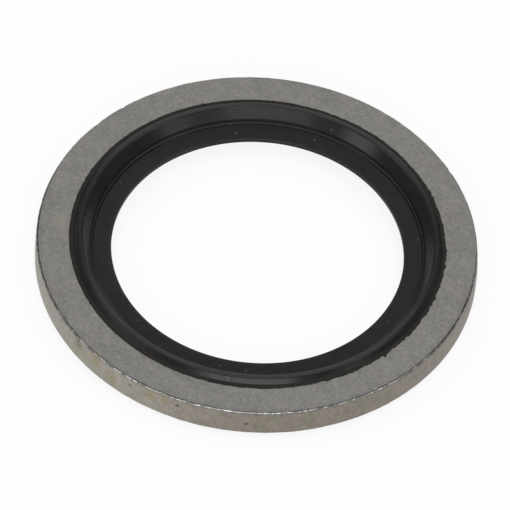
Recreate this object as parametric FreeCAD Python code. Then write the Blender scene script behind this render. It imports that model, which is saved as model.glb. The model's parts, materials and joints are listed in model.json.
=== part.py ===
import FreeCAD, Part
import math
import os

# Self-centring sealing washer for an M22 thread: a flat steel ring with a rubber seal moulded
# into its bore. Both pieces are turned about the Z axis and are the same above and below their
# mid-plane. The washer lies on its lower sealing lip, with the origin under its middle.
# Sizes are in millimetres and degrees, and widths are measured along the radius.

# Thread that the washer seals and centres on
thread_diameter = 22.0
thread_clearance = 0.35  # from the thread's crest out to the foot of the sealing lip
membrane_bite = 1.1  # how far the centring membrane reaches inside the thread's crest

# Steel ring, punched from flat strip, tumbled and plated
steel_width = 2.5
steel_thickness = 2.1
bore_chamfer = 0.3  # at both ends of the bore, where the rubber fills it
outer_corner = 0.1  # radius that tumbling leaves on the outer edges

# Sealing lips, one proud of each face of the steel
rubber_width = 1.15  # from the foot of the inner slope out to the steel's bore
lip_height = 0.35
crest_width = 0.26  # between the slopes, before its corners are rounded
crest_rounding = 0.2
outer_slope_angle = 50.0  # from the horizontal
flush_width = 0.33  # rubber level with the steel, outside the lip

# Step that the mould's middle insert leaves round the foot of the inner slope
step_height = 0.45  # above the membrane
ledge_height = 0.2
ledge_width = 0.1
step_draft = 15.0  # lean of the step's two walls

# Centring membrane, halfway up the bore
membrane_thickness = 0.35
tip_land = 0.28  # height of the wall that grips the thread
tip_bevel_angle = 45.0

# Heights above the mid-plane
steel_face = steel_thickness / 2
crest_face = steel_face + lip_height
membrane_face = membrane_thickness / 2

# Radii, worked outwards from the thread
thread_radius = thread_diameter / 2
hole_radius = thread_radius - membrane_bite
slope_foot_radius = thread_radius + thread_clearance
bore_radius = slope_foot_radius + rubber_width
outer_radius = bore_radius + steel_width


def lean(height, angle):
    """Distance along the radius that a wall covers in a height, at an angle from the horizontal."""
    return height / math.tan(math.radians(angle))


def steel_half():
    """Upper half of the ring's section, from its bore to its outer edge."""
    return [
        (bore_radius, steel_face - bore_chamfer, 0),
        (bore_radius + bore_chamfer, steel_face, 0),
        (outer_radius, steel_face, outer_corner),
    ]


def membrane_half():
    """Upper half of the membrane and of the step at its root, from the hole outwards."""
    bevel = lean(membrane_face - tip_land / 2, tip_bevel_angle)
    ledge_outer = slope_foot_radius - lean(step_height - ledge_height, 90 - step_draft)
    ledge_inner = ledge_outer - ledge_width
    step_foot = ledge_inner - lean(ledge_height, 90 - step_draft)
    return [
        (hole_radius, tip_land / 2, 0),
        (hole_radius + bevel, membrane_face, 0),
        (step_foot, membrane_face, 0),
        (ledge_inner, membrane_face + ledge_height, 0),
        (ledge_outer, membrane_face + ledge_height, 0),
        (slope_foot_radius, membrane_face + step_height, 0),
    ]


def lip_half():
    """Upper sealing lip, and the rubber that fills the bore's chamfer and meets the steel."""
    flush_outer = bore_radius + bore_chamfer
    lip_foot = flush_outer - flush_width
    crest_outer = lip_foot - lean(lip_height, outer_slope_angle)
    return [
        (crest_outer - crest_width, crest_face, crest_rounding),
        (crest_outer, crest_face, crest_rounding),
        (lip_foot, steel_face, 0),
        (flush_outer, steel_face, 0),
        (bore_radius, steel_face - bore_chamfer, 0),
    ]


def whole_section(upper_half):
    """Corners of a closed section, from those above the mid-plane."""
    lower_half = [(radius, -height, rounding) for radius, height, rounding in reversed(upper_half)]
    return upper_half + lower_half


def corner_arc(before, here, after, rounding):
    """Start, middle and end of the arc that rounds a corner."""
    back = (before - here).normalize()
    ahead = (after - here).normalize()
    half_angle = back.getAngle(ahead) / 2
    reach = rounding / math.tan(half_angle)
    inwards = (back + ahead).normalize()
    middle = here + inwards * (rounding / math.sin(half_angle) - rounding)
    return here + back * reach, middle, here + ahead * reach


def outline(corners):
    """Closed wire in the XZ plane through corners of (radius, height, rounding)."""
    points = [FreeCAD.Vector(radius, 0, height) for radius, height, _ in corners]
    bends = []
    for i, (here, (_, _, rounding)) in enumerate(zip(points, corners)):
        if rounding:
            after = points[(i + 1) % len(points)]
            bends.append(corner_arc(points[i - 1], here, after, rounding))
        else:
            bends.append((here, None, here))
    edges = []
    for i, (start, middle, end) in enumerate(bends):
        if middle:
            edges.append(Part.Arc(start, middle, end).toShape())
        next_start = bends[(i + 1) % len(bends)][0]
        edges.append(Part.LineSegment(end, next_start).toShape())
    return Part.Wire(edges)


def turned(upper_half):
    """Solid of revolution of a section, standing on the washer's lower face."""
    face = Part.Face(outline(whole_section(upper_half)))
    solid = face.revolve(FreeCAD.Vector(0, 0, 0), FreeCAD.Vector(0, 0, 1), 360)
    return solid.translated(FreeCAD.Vector(0, 0, crest_face))


os.makedirs("parts", exist_ok=True)
turned(steel_half()).exportStep("parts/steel_ring.step")
turned(membrane_half() + lip_half()).exportStep("parts/rubber_seal.step")
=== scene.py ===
import json
import math

import bpy
import numpy as np
from mathutils import Matrix, Vector


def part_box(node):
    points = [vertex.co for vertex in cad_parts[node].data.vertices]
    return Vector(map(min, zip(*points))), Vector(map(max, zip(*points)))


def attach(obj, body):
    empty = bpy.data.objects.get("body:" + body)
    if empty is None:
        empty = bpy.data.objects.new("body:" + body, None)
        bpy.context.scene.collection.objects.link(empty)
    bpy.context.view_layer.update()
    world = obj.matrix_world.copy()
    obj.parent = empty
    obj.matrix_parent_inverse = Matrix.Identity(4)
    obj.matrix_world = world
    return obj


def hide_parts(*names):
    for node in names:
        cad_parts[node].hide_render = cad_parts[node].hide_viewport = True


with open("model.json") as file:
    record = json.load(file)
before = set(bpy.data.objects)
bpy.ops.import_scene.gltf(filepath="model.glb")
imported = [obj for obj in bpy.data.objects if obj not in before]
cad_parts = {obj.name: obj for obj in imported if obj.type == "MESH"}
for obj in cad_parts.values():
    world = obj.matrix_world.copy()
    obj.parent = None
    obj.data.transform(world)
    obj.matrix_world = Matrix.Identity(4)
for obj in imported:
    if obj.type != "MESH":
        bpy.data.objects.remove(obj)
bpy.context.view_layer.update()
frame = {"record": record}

# Steel ring. A flat ring punched from strip, with its bore broken by a chamfer, then tumbled and
# zinc plated. The punch has drawn the upper edge in a little, tumbling has hammered both edges
# into narrow facets, and the wall flares out to full width below the upper one.
MM = 0.001  # sizes are in millimetres, except where they say metres
ring_low, ring_high = (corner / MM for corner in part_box("steel_ring"))
seal_low, seal_high = (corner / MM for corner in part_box("rubber_seal"))
undersize = 0.04  # this ring came out a little under its nominal radius
ring_radius = ring_high.x - undersize
ring_bottom = ring_low.z
ring_top = ring_high.z
face_inner_radius = seal_high.x
bore_chamfer = 0.3
bore_radius = face_inner_radius - bore_chamfer
bore_edge_radius = 12.68  # upper end of the bore's chamfer, under the rubber's edge
face_drawn_in = 0.065  # how much smaller the upper outline is than the wall
face_drift = (-0.025, -0.015)  # how far the upper outline lies off the wall's middle
flare_start = 0.1  # depth at which the wall starts to flare out
flare_depth = 0.5
upper_facet = 0.06  # width of the facet along the upper edge
lower_facet = 0.12
facet_steepness = 1.1  # a facet's height for its width
facet_dent = 0.02  # how far a facet's borders wander
border_bend = 0.02  # width over which the flats beside a facet bend down to it
border_drop = 0.004
broad_dents = 170  # round an edge, with the fine ones among them
fine_dents = 430
broad_dent_share = 0.6
upper_dent_seed = 41
lower_dent_seed = 51
nick_angles = (141, 173, 132, 31.5, 232, 248.5, 281)
nick_depth = 0.05
nick_width = 0.012  # in radians round the ring
ring_steps = 1200
bore_edge_bend = 0.05  # width of the face's row beside the bore's edge
face_rows = (13.6, 14.4)  # radii of the mesh's other rows on the face
flare_rows = (0.2, 0.27, 0.36, 0.48, 0.65, 0.85)  # depths of its rows down the wall


def angles_round(steps):
    """Angles of even steps round the washer."""
    return np.arange(steps) * 2 * math.pi / steps


def angle_between(angles, middle_degrees):
    """Signed angle from a place on the washer to each angle."""
    return (angles - math.radians(middle_degrees) + math.pi) % (2 * math.pi) - math.pi


def noise_round(seed, waves, angles, smooth=True):
    """Random values from -1 to 1 round the washer, changing over a number of waves."""
    random = np.random.default_rng(seed)
    values = random.uniform(-1, 1, waves)
    place = angles / (2 * math.pi) * waves
    before = np.floor(place).astype(int)
    share = place - before
    if smooth:
        share = share * share * (3 - 2 * share)
    return values[before % waves] * (1 - share) + values[(before + 1) % waves] * share


def shifted(offset, angles):
    """What a shift of a circle's middle adds to its radius at each angle."""
    return offset[0] * np.cos(angles) + offset[1] * np.sin(angles)


def smooth_normals(vertices):
    """Normals of a ring's vertices, led by the larger faces, so that flat faces look flat."""
    next_step = np.roll(vertices, -1, axis=1)
    next_point = np.roll(vertices, -1, axis=0)
    across = np.roll(next_step, -1, axis=0)
    faces = np.cross(across - vertices, next_step - next_point)
    pairs = faces + np.roll(faces, 1, axis=0)
    normals = pairs + np.roll(pairs, 1, axis=1)
    return normals / np.linalg.norm(normals, axis=-1, keepdims=True)


def ring_mesh(name, rows):
    """Closed mesh of a ring. Each row is a point of its section, given as the radii and heights
    in millimetres that the point has at the steps round the ring."""
    radii = np.array([row_radii for row_radii, _ in rows])
    heights = np.array([row_heights for _, row_heights in rows])
    points, steps = radii.shape
    angles = angles_round(steps)
    vertices = np.stack([radii * np.cos(angles), radii * np.sin(angles), heights], axis=-1)
    point, step = np.meshgrid(np.arange(points), np.arange(steps), indexing="ij")
    next_point = (point + 1) % points
    next_step = (step + 1) % steps
    corners = [point * steps + step, next_point * steps + step,
               next_point * steps + next_step, point * steps + next_step]
    faces = np.stack(corners, axis=-1).reshape(-1, 4)
    mesh = bpy.data.meshes.new(name)
    mesh.from_pydata((vertices * MM).reshape(-1, 3).tolist(), [], faces.tolist())
    mesh.shade_smooth()
    mesh.normals_split_custom_set_from_vertices(smooth_normals(vertices).reshape(-1, 3).tolist())
    piece = bpy.data.objects.new(name, mesh)
    bpy.context.scene.collection.objects.link(piece)
    return piece


def dents_round(seed, angles):
    """Random dents from -1 to 1 round an edge of the ring."""
    broad = noise_round(seed, broad_dents, angles)
    fine = noise_round(seed + 1, fine_dents, angles)
    return broad_dent_share * broad + (1 - broad_dent_share) * fine


def steel_half(angles, drawn_in, drift, facet, nicks, seed):
    """Rows of radii and depths below the face, from the middle of the bore to that of the wall."""
    half_height = (ring_top - ring_bottom) / 2
    outline = ring_radius - drawn_in + drift - nick_depth * nicks
    face_edge = outline - facet - facet_dent * dents_round(seed, angles)
    wall_edge = facet * facet_steepness + facet_dent * dents_round(seed + 2, angles)
    rows = [(bore_radius, half_height), (bore_radius, bore_chamfer)]
    rows += [(bore_edge_radius, 0.0), (bore_edge_radius + bore_edge_bend, 0.0)]
    rows += [(radius, 0.0) for radius in face_rows]
    rows += [(face_edge - border_bend, 0.0), (face_edge, border_drop)]
    rows += [(outline - border_drop, wall_edge), (outline, wall_edge + border_bend)]
    for depth in flare_rows:
        fade = math.exp((flare_start - depth) / flare_depth)
        rows.append((ring_radius - (drawn_in - drift) * fade, depth))
    rows.append((ring_radius, half_height))
    level = np.zeros_like(angles)
    return [(radius + level, depth + level) for radius, depth in rows]


def steel_ring():
    """The ring, with both edges hammered and the upper one drawn in and nicked."""
    angles = angles_round(ring_steps)
    nicks = sum(np.exp(-(angle_between(angles, place) / nick_width) ** 2) for place in nick_angles)
    drift = shifted(face_drift, angles)
    upper = steel_half(angles, face_drawn_in, drift, upper_facet, nicks, upper_dent_seed)
    lower = steel_half(angles, 0.0, 0.0, lower_facet, 0.0, lower_dent_seed)
    rows = [(radii, ring_top - depths) for radii, depths in upper]
    # Without the rows at half height, which the upper half has
    rows += [(radii, ring_bottom + depths) for radii, depths in lower[-2:0:-1]]
    return ring_mesh("steel_ring_plated", rows)


def add(tree, kind, inputs=None, **settings):
    """New node of a kind with its settings, each input given a value or joined to a socket."""
    made = tree.nodes.new(kind)
    for name, value in settings.items():
        setattr(made, name, value)
    for name, value in (inputs or {}).items():
        if isinstance(value, bpy.types.NodeSocket):
            tree.links.new(value, made.inputs[name])
        else:
            made.inputs[name].default_value = value
    return made


def sums(tree, operation, first, second=0.0, clamp=False):
    """Result of a sum on two numbers or sockets."""
    made = add(tree, "ShaderNodeMath", {0: first, 1: second}, operation=operation, use_clamp=clamp)
    return made.outputs[0]


def product(tree, first, *others):
    """Product of several numbers or sockets."""
    for other in others:
        first = sums(tree, "MULTIPLY", first, other)
    return first


def vector_sums(tree, operation, first, second=(0, 0, 0)):
    """Result of a sum on two vectors or sockets, which for some sums is a number."""
    made = add(tree, "ShaderNodeVectorMath", {0: first, 1: second}, operation=operation)
    is_number = operation in ("LENGTH", "DISTANCE", "DOT_PRODUCT")
    return made.outputs["Value" if is_number else "Vector"]


def scaled(tree, vector, factor):
    """A vector made longer or shorter."""
    made = add(tree, "ShaderNodeVectorMath", {0: vector, "Scale": factor}, operation="SCALE")
    return made.outputs["Vector"]


def ramp_between(tree, value, low, high):
    """0 below the low value, 1 above the high one, and smooth between them."""
    made = add(tree, "ShaderNodeMapRange", {"Value": value, "From Min": low, "From Max": high},
               interpolation_type="SMOOTHSTEP")
    return made.outputs["Result"]


def fall_between(tree, value, low, high):
    """1 below the low value, 0 above the high one, and smooth between them."""
    return sums(tree, "SUBTRACT", 1.0, ramp_between(tree, value, low, high), clamp=True)


def band(tree, value, low, high, soft):
    """1 between two values and 0 outside them, with soft edges."""
    rise = ramp_between(tree, value, low - soft, low + soft)
    fall = ramp_between(tree, value, high - soft, high + soft)
    return sums(tree, "SUBTRACT", rise, fall, clamp=True)


def blend_colours(tree, share, first, second, mode="MIX"):
    """Colour between two colours or sockets."""
    made = add(tree, "ShaderNodeMix", data_type="RGBA", blend_type=mode)
    for socket, value in (("Factor_Float", share), ("A_Color", first), ("B_Color", second)):
        target = next(s for s in made.inputs if s.identifier == socket)
        if isinstance(value, bpy.types.NodeSocket):
            tree.links.new(value, target)
        else:
            target.default_value = value
    return next(s for s in made.outputs if s.identifier == "Result_Color")


def noise(tree, place, scale, detail, roughness, output="Fac"):
    """Cloudy noise about 0.5 at a number of waves a millimetre."""
    inputs = {"Vector": place, "Scale": scale, "Detail": detail, "Roughness": roughness}
    return add(tree, "ShaderNodeTexNoise", inputs).outputs[output]


grain_detail = 1.0
grain_roughness = 0.5
grain_tint = 0.22  # share of the grain that is colour and not shade


def grained(tree, colour, place, scale, share):
    """A colour made lighter, darker and a little tinted by noise, without changing its average."""
    shade = noise(tree, place, scale, grain_detail, grain_roughness)
    tint = noise(tree, place, scale, grain_detail, grain_roughness, "Color")
    grain = blend_colours(tree, grain_tint, shade, tint)
    return blend_colours(tree, share, colour, grain, "OVERLAY")


def new_material(name):
    """Material with a node tree that holds one principled shader."""
    material = bpy.data.materials.new(name)
    material.use_nodes = True
    return material, material.node_tree, material.node_tree.nodes["Principled BSDF"]


def bumped(tree, shader, height, strength, distance):
    """Give a shader fine relief, with its depth in millimetres."""
    inputs = {"Height": height, "Strength": strength, "Distance": distance * MM}
    bump = add(tree, "ShaderNodeBump", inputs)
    tree.links.new(bump.outputs[0], shader.inputs["Normal"])


def places_in_mm(tree):
    """The point in millimetres, its distance from the axis, its height, and its direction."""
    point = add(tree, "ShaderNodeTexCoord").outputs["Object"]
    in_mm = scaled(tree, point, 1 / MM)
    parts = add(tree, "ShaderNodeSeparateXYZ", {0: in_mm}).outputs
    flat = add(tree, "ShaderNodeCombineXYZ", {"X": parts["X"], "Y": parts["Y"]}).outputs[0]
    radius = vector_sums(tree, "LENGTH", flat)
    direction = vector_sums(tree, "NORMALIZE", flat)
    return in_mm, radius, parts["Z"], direction


spot_core = 0.2  # share of a spot's size over which it is at its strongest


def spot(tree, in_mm, angle_degrees, radius, height, size):
    """1 in a soft round spot about a place on the washer, 0 away from it."""
    angle = math.radians(angle_degrees)
    middle = (radius * math.cos(angle), radius * math.sin(angle), height)
    distance = vector_sums(tree, "DISTANCE", in_mm, middle)
    return fall_between(tree, distance, size * spot_core, size)


plating_green = (0.240, 0.240, 0.221, 1)
plating_pink = (0.248, 0.237, 0.224, 1)
wall_beige = (0.415, 0.375, 0.308, 1)
wall_pink = (0.422, 0.372, 0.335, 1)
wall_painted_light = (0.57, 0.53, 0.465, 1)  # painted light: the wall's left side, as if lit from the left
patch_pink = (0.335, 0.285, 0.255, 1)
# Painted shade: near black, for the dark line and its faint shade along the steel's upper edge
painted_shade_dark = (0.03, 0.03, 0.03, 1)
glint_bright = (0.52, 0.51, 0.50, 1)
speck_pale = (0.50, 0.50, 0.47, 1)
stain_brown = (0.10, 0.055, 0.025, 1)
stain_yellow = (0.47, 0.39, 0.20, 1)
# Noise, as waves a millimetre, detail and roughness
plating_clouds = (0.8, 3.0, 0.6)
wall_clouds = (1.3, 3.0, 0.6)
pale_specks = (8.0, 1.0, 0.5)
stain_gaps = (5.0, 3.0, 0.7)
line_wobbles = (2.2, 2.0, 0.5)
line_gaps = (1.1, 2.0, 0.5)
glint_dashes = (3.6, 1.0, 0.5)
plating_pits = (8.0, 3.0, 0.65)
wall_scores = (6.0, 3.0, 0.6)
# Values of the noise between which each comes in
cloud_contrast = (0.32, 0.68)
speck_contrast = (0.66, 0.76)
stain_contrast = (0.40, 0.60)
line_contrast = (0.3, 0.55)
glint_contrast = (0.48, 0.56)
# Grain, as waves a millimetre and strength
plating_grains = [(10.0, 0.4), (3.0, 0.2), (0.9, 0.16)]
wall_grain = (6.0, 0.15)
upright_stretch = (1, 1, 0.35)  # draws the wall's clouds, grain and scores out upright
outside_radii = (14.5, 14.6)  # between which the face's finish gives way to the wall's
wall_depths = (0.08, 0.2)  # below a face, the same
edge_depths = (0.005, 0.08)  # below a face, where the hammered edge glints
edge_soft = 0.004
face_depths = (0.002, 0.01)  # below a face, where its painted dark line of shade ends
to_left = (-0.95, -0.3, 0)
left_reach = (0.2, 0.9)  # how squarely the wall faces that way where its painted light comes in
# The painted shade along the upper edge shows only on the washer's front, the side towards the
# camera
to_front = (-0.2, -1, 0)
front_reach = (-0.3, 0.1)
speck_share = 0.5
pink_patch = (179, 13.3, 0.9, 0.6)  # angle, radius, size, strength
# Angle, depth below the upper face, size, strength
brown_stains = [(220.7, 0.53, 0.55, 0.95), (271.0, 1.06, 0.26, 1.0), (243.9, 0.78, 0.2, 0.5),
                (252.9, 0.59, 0.2, 0.9), (239.4, 0.67, 0.2, 0.8)]
yellow_stains = [(227.6, 0.60, 0.9, 0.8), (233.0, 0.94, 0.8, 0.8), (245.4, 0.65, 0.7, 0.8),
                 (249.6, 0.52, 0.6, 0.9), (222.0, 0.75, 1.1, 0.5)]
line_radius = ring_radius - face_drawn_in - upper_facet  # outer side of the fine painted dark line of shade
line_width = 0.07
line_soft = 0.012
line_wobble = 0.08
line_least = 0.6
line_more = 0.35  # where the line has no gap
shade_width = 0.3  # of the faint painted shade inside the line
shade_soft = 0.06
shade_share = 0.08
steel_roughness = 0.34
glint_polish = 0.04  # how much smoother a glint is
score_share = 1.2  # against the pits
steel_relief = (0.6, 0.014)  # strength, depth


def zinc_colour(tree, in_mm, upright, direction, on_wall):
    """Grey zinc with green and pink clouds, more beige on the wall, and painted light making the
    wall paler on its left.
    """
    clouds = ramp_between(tree, noise(tree, in_mm, *plating_clouds), *cloud_contrast)
    colour = blend_colours(tree, clouds, plating_green, plating_pink)
    clouds = ramp_between(tree, noise(tree, upright, *wall_clouds), *cloud_contrast)
    wall = blend_colours(tree, clouds, wall_beige, wall_pink)
    # Painted light: the wall made lighter where it faces left, as a lamp there would light it
    leftwards = vector_sums(tree, "DOT_PRODUCT", direction, to_left)
    wall = blend_colours(tree, ramp_between(tree, leftwards, *left_reach), wall, wall_painted_light)
    wall = grained(tree, wall, upright, *wall_grain)
    colour = blend_colours(tree, on_wall, colour, wall)
    for scale, share in plating_grains:
        colour = grained(tree, colour, in_mm, scale, share)
    specks = ramp_between(tree, noise(tree, in_mm, *pale_specks), *speck_contrast)
    return blend_colours(tree, product(tree, specks, speck_share), colour, speck_pale)


def stained(tree, in_mm, colour):
    """The pink patch on the face, and the broken stains on the wall."""
    angle, radius, size, strength = pink_patch
    mark = spot(tree, in_mm, angle, radius, ring_top, size)
    colour = blend_colours(tree, product(tree, mark, strength), colour, patch_pink)
    broken = ramp_between(tree, noise(tree, in_mm, *stain_gaps), *stain_contrast)
    for stains, tint in ((brown_stains, stain_brown), (yellow_stains, stain_yellow)):
        for angle, below, size, strength in stains:
            mark = spot(tree, in_mm, angle, ring_radius, ring_top - below, size)
            colour = blend_colours(tree, product(tree, mark, broken, strength), colour, tint)
    return colour


def painted_edge_shade(tree, in_mm, radius, direction, depth, colour):
    """Painted shade: the fine dark line just inside the upper facet, with a faint painted shade
    inside it, both shown on the front only.
    """
    wobble = sums(tree, "SUBTRACT", noise(tree, in_mm, *line_wobbles), 0.5)
    place = sums(tree, "ADD", radius, product(tree, wobble, line_wobble))
    drift = vector_sums(tree, "DOT_PRODUCT", direction, (*face_drift, 0))
    place = sums(tree, "SUBTRACT", place, drift)
    line = band(tree, place, line_radius - line_width, line_radius, line_soft)
    shade = band(tree, place, line_radius - shade_width, line_radius, shade_soft)
    frontwards = vector_sums(tree, "DOT_PRODUCT", direction, to_front)
    on_front = ramp_between(tree, frontwards, *front_reach)
    shown = product(tree, fall_between(tree, depth, *face_depths), on_front)
    uneven = ramp_between(tree, noise(tree, in_mm, *line_gaps), *line_contrast)
    strength = sums(tree, "ADD", line_least, product(tree, uneven, line_more))
    colour = blend_colours(tree, product(tree, shade, shown, shade_share), colour, painted_shade_dark)
    return blend_colours(tree, product(tree, line, shown, strength), colour, painted_shade_dark)


def plated_steel():
    """Dull grey zinc over punched steel, stained, worn bright in dashes along its edges, and with
    a painted dark line of shade along the front of its upper edge.
    """
    material, tree, shader = new_material("dull_zinc_plating")
    shader.inputs["Metallic"].default_value = 1.0
    in_mm, radius, height, direction = places_in_mm(tree)
    upright = vector_sums(tree, "MULTIPLY", in_mm, upright_stretch)
    below_top = sums(tree, "SUBTRACT", ring_top, height)
    above_bottom = sums(tree, "SUBTRACT", height, ring_bottom)
    depth = sums(tree, "MINIMUM", below_top, above_bottom)
    outside = ramp_between(tree, radius, *outside_radii)
    on_wall = product(tree, ramp_between(tree, depth, *wall_depths), outside)
    colour = zinc_colour(tree, in_mm, upright, direction, on_wall)
    colour = stained(tree, in_mm, colour)
    # Painted shade along the front of the upper edge
    colour = painted_edge_shade(tree, in_mm, radius, direction, depth, colour)
    on_edge = product(tree, outside, band(tree, depth, *edge_depths, edge_soft))
    worn = ramp_between(tree, noise(tree, in_mm, *glint_dashes), *glint_contrast)
    glint = product(tree, on_edge, worn)
    colour = blend_colours(tree, glint, colour, glint_bright)
    tree.links.new(colour, shader.inputs["Base Color"])
    rough = sums(tree, "SUBTRACT", steel_roughness, product(tree, glint, glint_polish))
    tree.links.new(rough, shader.inputs["Roughness"])
    pits = noise(tree, in_mm, *plating_pits)
    scores = product(tree, noise(tree, upright, *wall_scores), on_wall, score_share)
    bumped(tree, shader, sums(tree, "ADD", pits, scores), *steel_relief)
    return material


ring = steel_ring()
ring.data.materials.append(plated_steel())
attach(ring, "root")
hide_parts("steel_ring")

# Rubber seal. Black nitrile rubber, moulded round the steel's bore in one shot and bonded to it.
# A raised lip stands proud of each face, and a thin web with the hole in it reaches inwards. What
# the mould let out is a thin ragged flash that lies over the inner edge of the steel's face.
bore = next(mount for mount in frame["record"]["mounts"] if mount["name"] == "thread_bore")
hole_radius = bore["dims"]["r_mm"]
middle_height = (seal_low.z + seal_high.z) / 2
crest_height = seal_high.z - middle_height
face_height = ring_top - middle_height
web_thickness = 0.35
tip_land = 0.28  # height of the wall that grips the thread
tip_bevel = 0.035
step_height = 0.45  # above the web
ledge_height = 0.2
step_foot = 11.129  # radii of the section's corners, from the web outwards
ledge_inner = 11.183
ledge_outer = 11.283
slope_foot = 11.35
crest_inner = 11.917  # where the lip's slopes would meet the height of its crest
crest_outer = 12.176
lip_foot = 12.47
tip_rounding = 0.02
step_foot_rounding = 0.03
ledge_inner_rounding = 0.055
ledge_outer_rounding = 0.015
slope_foot_rounding = 0.04
crest_inner_rounding = 0.27
crest_outer_rounding = 0.25
lip_foot_rounding = 0.04
insert_drift = (0.055, 0.04)  # how far the mould's middle insert stood off the steel's middle
drift_fade = 0.6  # width over which that dies out towards the steel
seal_steps = 1360
# Where the flash ends at each 30 degrees, and how ragged it is there
flash_radii = [12.75, 12.75, 12.74, 12.76, 12.76, 12.75, 12.73, 12.72, 12.73, 12.81, 12.79, 12.76]
flash_rags = [0.08, 0.05, 0.035, 0.014, 0.014, 0.014, 0.018, 0.022, 0.018, 0.03, 0.06, 0.085]
# Loose nibs on the flash: angle, reach, width in degrees
flash_nibs = [(315.0, 0.17, 0.45), (110.8, 0.09, 0.3), (136.7, 0.03, 0.2), (155.8, 0.03, 0.2)]
flash_least = bore_edge_radius + 0.01
flash_waves = (7, 110, 0.35)  # seed, number round the seal, share
flash_teeth = (8, 560, 0.95)
flash_height = 0.015
flash_root = 0.05  # from the flash's end in to where it starts to thicken
flash_root_height = 0.003
flash_crest = 0.012  # from its end in to where it's thickest
flash_sink = 0.004  # how far its underside lies under the steel's face


def arc(before, here, after, rounding, pieces):
    """Points of the arc that rounds a corner between two straight lines."""
    before, here, after = (np.array(point, float) for point in (before, here, after))
    back = (before - here) / np.linalg.norm(before - here)
    ahead = (after - here) / np.linalg.norm(after - here)
    half_angle = math.acos(np.clip(back @ ahead, -1, 1)) / 2
    reach = rounding / math.tan(half_angle)
    inwards = (back + ahead) / np.linalg.norm(back + ahead)
    centre = here + inwards * rounding / math.sin(half_angle)
    start = here + back * reach - centre
    end = here + ahead * reach - centre
    turn = math.acos(np.clip(start @ end / rounding ** 2, -1, 1))
    points = []
    for share in np.linspace(0, 1, pieces + 1):
        spoke = math.sin((1 - share) * turn) * start + math.sin(share * turn) * end
        points.append(tuple(centre + spoke / math.sin(turn)))
    return points


def seal_half():
    """Half of the seal's section as (radius, height from the middle), from the hole to the
    lip's outer foot. Each corner has a rounding and the number of pieces of its arc."""
    web_face = web_thickness / 2
    ledge_face = web_face + ledge_height
    corners = [
        (hole_radius, 0, 0, 0),
        (hole_radius, tip_land / 2, tip_rounding, 1),
        (hole_radius + tip_bevel, web_face, tip_rounding, 1),
        (step_foot, web_face, step_foot_rounding, 1),
        (ledge_inner, ledge_face, ledge_inner_rounding, 3),
        (ledge_outer, ledge_face, ledge_outer_rounding, 1),
        (slope_foot, web_face + step_height, slope_foot_rounding, 2),
        (crest_inner, crest_height, crest_inner_rounding, 5),
        (crest_outer, crest_height, crest_outer_rounding, 5),
        (lip_foot, face_height, lip_foot_rounding, 2),
        (face_inner_radius, face_height, 0, 0),
    ]
    section = [(hole_radius, 0)]
    for before, here, after in zip(corners, corners[1:], corners[2:]):
        _, _, rounding, pieces = here
        section += arc(before[:2], here[:2], after[:2], rounding, pieces)
    return section


def flash_end(angles):
    """Radius of the flash's end at each angle."""
    degrees = np.degrees(angles)
    stops = np.linspace(0, 360, len(flash_radii) + 1)
    reach = np.interp(degrees, stops, flash_radii + flash_radii[:1])
    rag = np.interp(degrees, stops, flash_rags + flash_rags[:1])
    wave_seed, waves, wave_share = flash_waves
    tooth_seed, teeth, tooth_share = flash_teeth
    wavy = noise_round(wave_seed, waves, angles)
    toothed = noise_round(tooth_seed, teeth, angles, smooth=False)
    end = reach + rag * (wave_share * wavy + tooth_share * toothed)
    for place, length, width in flash_nibs:
        end += length * np.exp(-(angle_between(angles, place) / math.radians(width)) ** 4)
    return np.maximum(end, flash_least)


def flash_rows(angles):
    """Rows of radii and heights of the flash, from the lip's foot to the steel's bore."""
    end = flash_end(angles)
    level = np.full_like(angles, face_height)
    return [
        (end - flash_root, level + flash_root_height),
        (end - flash_crest, level + flash_height),
        (end, level + flash_height / 2),
        (end, level - flash_sink),
        (np.full_like(angles, bore_edge_radius), level - flash_sink),
        (np.full_like(angles, bore_radius), level - bore_chamfer),
    ]


def rubber_seal():
    """The seal, with its inner forms off the steel's middle and its flash uneven."""
    angles = angles_round(seal_steps)
    drift = shifted(insert_drift, angles)
    rows = []
    for radius, height in seal_half():
        share = min(max((bore_edge_radius - radius) / drift_fade, 0), 1)
        rows.append((radius + drift * share, np.full(seal_steps, height)))
    rows += flash_rows(angles)
    rows += [(radii, -heights) for radii, heights in reversed(rows[1:])]
    rows = [(radii, heights + middle_height) for radii, heights in rows]
    return ring_mesh("rubber_seal_moulded", rows)


rubber_black = (0.0140, 0.0122, 0.0108, 1)
rubber_grey = (0.0160, 0.0142, 0.0128, 1)
tip_grey = (0.026, 0.0245, 0.023, 1)
dust_pale = (0.085, 0.082, 0.078, 1)
# Noise, as waves a millimetre, detail and roughness
rubber_clouds = (1.5, 3.0, 0.6)
rubber_pits = (9.0, 3.0, 0.6)
turning_marks = (1.0, 2.0, 0.6)  # of a place that the next two values stretch
turning_scale = 16.0  # marks a millimetre across the section
turning_drift = 3.0  # how fast they change round the seal
rubber_contrast = (0.3, 0.7)
rubber_grain = (8.0, 0.35)  # waves a millimetre, strength
tip_radii = (hole_radius + 0.03, hole_radius + 0.2)  # between which the worn tip's grey fades
tip_share = 0.5
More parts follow.
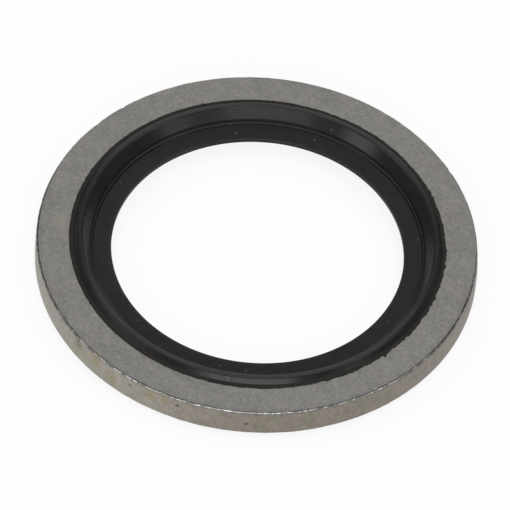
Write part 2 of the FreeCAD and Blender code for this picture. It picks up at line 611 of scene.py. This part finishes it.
# Angle, radius, height above the seal's middle, size, strength
dust = [
    (101.6, 10.51, 0.18, 0.13, 1.0), (72.2, 10.82, 0.18, 0.12, 0.8),
    (260.2, 10.53, 0.18, 0.12, 0.7), (269.6, 10.63, 0.18, 0.10, 0.8),
    (152.5, 10.86, 0.18, 0.11, 0.7), (223.1, 10.32, 0.18, 0.10, 0.6),
    (237.0, 10.84, 0.18, 0.10, 0.7), (329.8, 10.64, 0.18, 0.11, 0.7),
    (11.0, 11.07, 0.18, 0.10, 0.6), (103.3, 11.2, 0.38, 0.10, 0.8),
    (67.6, 11.53, 0.9, 0.16, 0.8), (264.0, 12.3, 1.25, 0.10, 0.7),
    (264.7, 12.4, 1.15, 0.10, 0.7), (162.0, 11.9, 1.38, 0.09, 0.6),
    (174.0, 12.3, 1.25, 0.09, 0.6),
]
rubber_gloss = 1.33  # index of refraction
rubber_roughness = 0.16
cloud_roughness = 0.1  # what the clouds add to it
turning_share = 0.8
pit_share = 0.7
rubber_relief = (0.5, 0.006)  # strength, depth


def black_rubber():
    """Satin black nitrile rubber with the mould's fine turning marks, and a little dust."""
    material, tree, shader = new_material("black_nitrile_rubber")
    shader.inputs["IOR"].default_value = rubber_gloss
    in_mm, radius, height, direction = places_in_mm(tree)
    cloud = noise(tree, in_mm, *rubber_clouds)
    cloudy = ramp_between(tree, cloud, *rubber_contrast)
    colour = blend_colours(tree, cloudy, rubber_black, rubber_grey)
    at_tip = product(tree, fall_between(tree, radius, *tip_radii), tip_share)
    colour = blend_colours(tree, at_tip, colour, tip_grey)
    colour = grained(tree, colour, in_mm, *rubber_grain)
    for angle, dust_radius, dust_height, size, strength in dust:
        mark = spot(tree, in_mm, angle, dust_radius, middle_height + dust_height, size)
        colour = blend_colours(tree, product(tree, mark, strength), colour, dust_pale)
    tree.links.new(colour, shader.inputs["Base Color"])
    rough = sums(tree, "ADD", rubber_roughness, product(tree, cloud, cloud_roughness))
    tree.links.new(rough, shader.inputs["Roughness"])
    section = add(tree, "ShaderNodeCombineXYZ", {"X": product(tree, radius, turning_scale),
                                                 "Y": product(tree, height, turning_scale)})
    turned = vector_sums(tree, "ADD", section.outputs[0], scaled(tree, direction, turning_drift))
    on_lip = ramp_between(tree, radius, step_foot, slope_foot)
    marks = product(tree, noise(tree, turned, *turning_marks), on_lip, turning_share)
    pits = product(tree, noise(tree, in_mm, *rubber_pits), pit_share)
    bumped(tree, shader, sums(tree, "ADD", marks, pits), *rubber_relief)
    return material


seal = rubber_seal()
seal.data.materials.append(black_rubber())
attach(seal, "root")
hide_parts("rubber_seal")

# Floor. A round sheet of white paper on which the washer lies, in a white room. It shows pure
# white with a faint shadow, a little dimmer where the washer mirrors it, and nothing from below,
# so that it never hides the washer.
floor_radius = 1.3  # in metres
floor_steps = 96
floor_white = (0.9, 0.9, 0.9, 1)
floor_shadow = 0.12  # share of the paper's own light and shadow that shows
floor_mirrored = 0.5
air_white = (1, 1, 1, 1)
air_strength = 0.18


def white_floor():
    """White paper that bounces light as it should, but shows only a faint shadow."""
    material = bpy.data.materials.new("floor_white")
    material.use_nodes = True
    tree = material.node_tree
    tree.nodes.clear()
    paper = add(tree, "ShaderNodeBsdfDiffuse", {"Color": floor_white})
    ray = add(tree, "ShaderNodeLightPath").outputs
    mirrored = sums(tree, "MAXIMUM", ray["Is Glossy Ray"], ray["Is Transmission Ray"])
    dimmed = product(tree, mirrored, floor_mirrored)
    strength = sums(tree, "MAXIMUM", ray["Is Camera Ray"], dimmed)
    glow = add(tree, "ShaderNodeEmission", {"Strength": strength})
    seen = sums(tree, "MAXIMUM", ray["Is Camera Ray"], mirrored)
    share = product(tree, seen, 1 - floor_shadow)
    shown = add(tree, "ShaderNodeMixShader", {0: share, 1: paper.outputs[0], 2: glow.outputs[0]})
    clear = add(tree, "ShaderNodeBsdfTransparent")
    below = add(tree, "ShaderNodeNewGeometry").outputs["Backfacing"]
    both = add(tree, "ShaderNodeMixShader", {0: below, 1: shown.outputs[0], 2: clear.outputs[0]})
    add(tree, "ShaderNodeOutputMaterial", {"Surface": both.outputs[0]})
    return material


floor_points = [(floor_radius * math.cos(angle), floor_radius * math.sin(angle), 0)
                for angle in angles_round(floor_steps)]
floor_mesh = bpy.data.meshes.new("studio_floor")
floor_mesh.from_pydata(floor_points, [], [tuple(range(floor_steps))])
floor_mesh.materials.append(white_floor())
floor = bpy.data.objects.new("studio_floor", floor_mesh)
bpy.context.scene.collection.objects.link(floor)

world = bpy.data.worlds.new("studio_air")
bpy.context.scene.world = world
world.use_nodes = True
air = world.node_tree.nodes["Background"].inputs
air["Color"].default_value = air_white
air["Strength"].default_value = air_strength

# Lamps. A softbox overhead, a low wide panel and two strips in front that the seal's inner slope
# mirrors, a bright softbox above them, a panel and a fill behind, a key lamp on each side, and a
# strip on the right that brings out the steel's edge.
lamp_distance = 0.9  # in metres


def soft_lamp(name, azimuth, elevation, spread, rise, radiance):
    """Flat lamp of an even radiance that faces the washer. It stands at an azimuth from the
    front and an elevation, and spans two angles. All are in degrees."""
    width = 2 * lamp_distance * math.tan(math.radians(spread / 2))
    height = 2 * lamp_distance * math.tan(math.radians(rise / 2))
    lamp = bpy.data.lights.new(name, "AREA")
    lamp.shape = "RECTANGLE"
    lamp.size = width
    lamp.size_y = height
    lamp.energy = radiance * math.pi * width * height
    holder = bpy.data.objects.new(name, lamp)
    bpy.context.scene.collection.objects.link(holder)
    turn = math.radians(azimuth)
    lift = math.radians(elevation)
    towards = Vector((math.sin(turn) * math.cos(lift), -math.cos(turn) * math.cos(lift),
                      math.sin(lift)))
    holder.location = towards * lamp_distance
    holder.rotation_euler = towards.to_track_quat("Z", "Y").to_euler()
    holder.visible_camera = False


soft_lamp("overhead_softbox", 0, 89, 54, 64, 1.5)
soft_lamp("front_panel", 6, 17.5, 112, 12, 1.6)
soft_lamp("left_strip", -55, 17.5, 18, 14, 2.9)
soft_lamp("right_strip", 55, 17.5, 15, 14, 1.2)
soft_lamp("front_softbox", 0, 33, 44, 10, 4.6)
soft_lamp("back_panel", 180, 26, 46, 26, 1.45)
soft_lamp("back_fill", 180, 49, 76, 22, 0.25)
soft_lamp("left_key", -85, 38, 30, 30, 1.2)
soft_lamp("right_key", 80, 50, 24, 24, 1.4)
soft_lamp("right_edge_strip", 68, 33, 26, 6, 3.0)

# Camera. A long lens that looks down from the front and is turned a little about its own axis.
# Its place is the one from which the washer's outline and hole lie as in the photograph.
camera_elevation = 49.65
camera_roll = 4.784
camera_distance = 448.65 * MM
camera_lens = 469.6
camera_sensor = 36
aim_right = 0.173 * MM  # how far it aims off the middle of the steel's upper face
aim_down = -0.923 * MM

elevation = math.radians(camera_elevation)
roll = math.radians(camera_roll)
forward = Vector((0, math.cos(elevation), -math.sin(elevation)))
level_right = Vector((1, 0, 0))
level_down = forward.cross(level_right)
right = level_right * math.cos(roll) - level_down * math.sin(roll)
down = level_right * math.sin(roll) + level_down * math.cos(roll)
target = Vector((0, 0, ring_top * MM))
camera = bpy.data.objects.new("camera", bpy.data.cameras.new("camera"))
bpy.context.scene.collection.objects.link(camera)
camera.data.sensor_width = camera_sensor
camera.data.lens = camera_lens
camera.location = target - forward * camera_distance - right * aim_right - down * aim_down
camera.rotation_euler = Matrix((right, -down, -forward)).transposed().to_euler()
bpy.context.scene.camera = camera
bpy.context.scene.view_settings.view_transform = "Standard"
